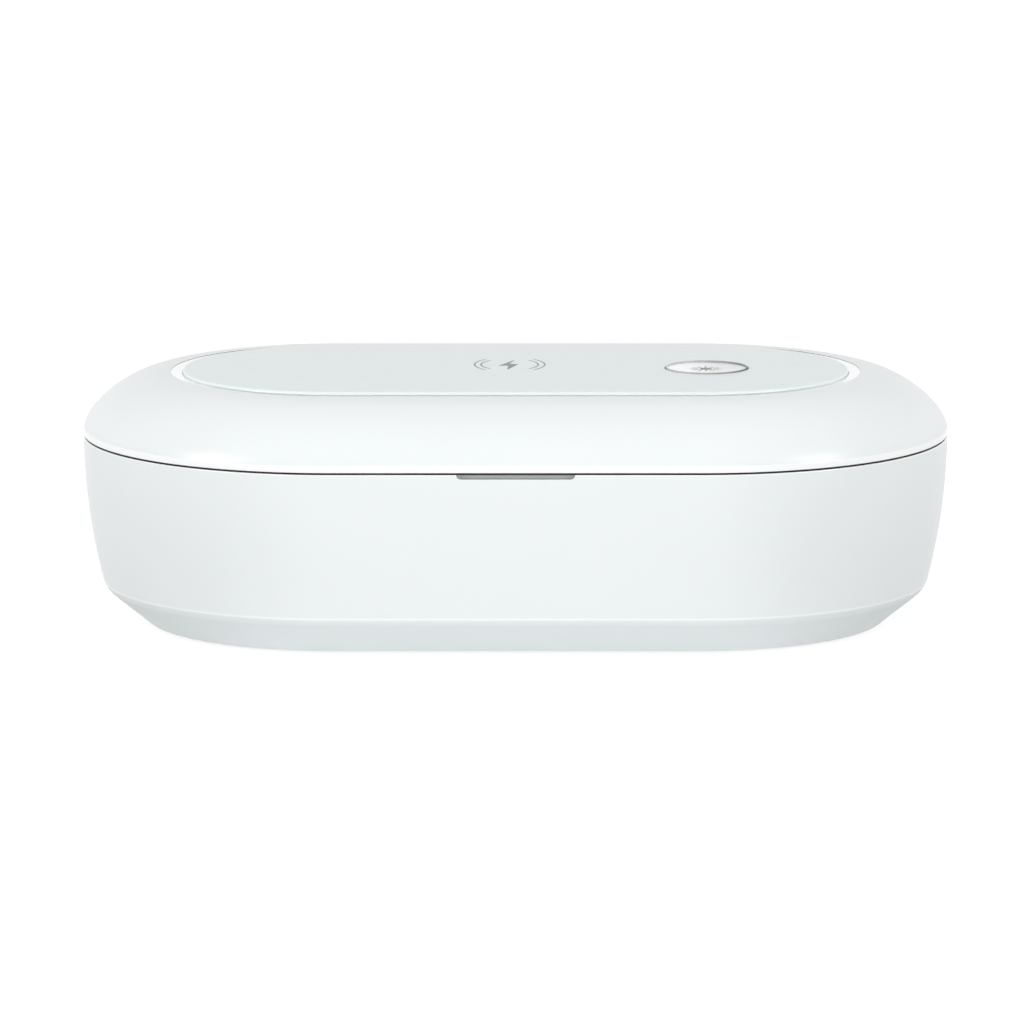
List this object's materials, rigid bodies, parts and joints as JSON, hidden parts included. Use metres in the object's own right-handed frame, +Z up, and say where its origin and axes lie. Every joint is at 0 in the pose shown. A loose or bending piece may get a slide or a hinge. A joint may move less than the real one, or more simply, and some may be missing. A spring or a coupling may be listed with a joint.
{
  "type": "phone sanitizer box",
  "caption": "Long round-ended box that cleans a phone with ultraviolet light: domed lid on a flush rear hinge, charging panel and push button on top, lamp chamber inside.",
  "frame": {"origin": "on the surface it stands on, under the middle of the box", "axes": "+X along the box towards the end with the button, +Y to the rear, where the hinge is, +Z up"},
  "size_m": [0.22, 0.1289, 0.0648],
  "materials": {
    "shell": "satin white moulded plastic",
    "panel": "fine matt, pale grey white",
    "button": "satin white",
    "liner": "fine matt, light grey",
    "seal": "matt black",
    "foot": "matt grey",
    "steel": "plated steel",
    "magnet": "nickel plated",
    "copper": "enamelled copper wire",
    "ferrite": "matt dark grey",
    "board": "green solder mask",
    "chip": "matt black",
    "lamp": "ceramic package",
    "quartz": "clear polished window"
  },
  "bodies": {
    "base": {"base_shell": "shell", "base_cover": "shell", "foot_front_left": "foot", "foot_front_right": "foot", "foot_rear_left": "foot", "foot_rear_right": "foot", "cover_screw_1": "steel", "cover_screw_2": "steel", "cover_screw_3": "steel", "cover_screw_4": "steel", "rim_seal": "seal", "chamber_tray": "liner", "base_uv_board": "board", "base_uv_led_left": "lamp", "base_uv_led_right": "lamp", "base_uv_window_left": "quartz", "base_uv_window_right": "quartz", "main_board": "board", "controller_chip": "chip", "power_inductor": "ferrite", "capacitor_left": "steel", "capacitor_right": "steel", "usb_socket": "steel", "base_magnet_left": "magnet", "base_magnet_right": "magnet", "sensor_board": "board", "hall_sensor": "chip", "hinge_pin_left": "steel", "hinge_pin_right": "steel"},
    "lid": {"lid_shell": "shell", "charging_panel": "panel", "panel_carrier": "liner", "charging_coil": "copper", "ferrite_plate": "ferrite", "charging_board": "board", "charger_chip": "chip", "button_board": "board", "button_switch": "chip", "lid_liner": "liner", "lid_uv_board": "board", "lid_uv_led_left": "lamp", "lid_uv_led_right": "lamp", "lid_uv_window_left": "quartz", "lid_uv_window_right": "quartz", "lid_magnet_left": "magnet", "lid_magnet_right": "magnet", "sensor_magnet": "magnet", "lid_screw_1": "steel", "lid_screw_2": "steel", "lid_screw_3": "steel", "lid_screw_4": "steel"},
    "button": {"button_cap": "button", "switch_plunger": "button"}
  },
  "joints": [
    {"name": "lid_hinge", "type": "hinge", "parent": "base", "child": "lid", "pos_m": [0, 0.0617, 0.0485], "axis": [-1, 0, 0], "range_deg": [0, 100]},
    {"name": "button_press", "type": "slide", "parent": "lid", "child": "button", "axis": [0, 0, -1], "range_m": [0, 0.0005], "stiffness_N_per_m": 2000}
  ]
}
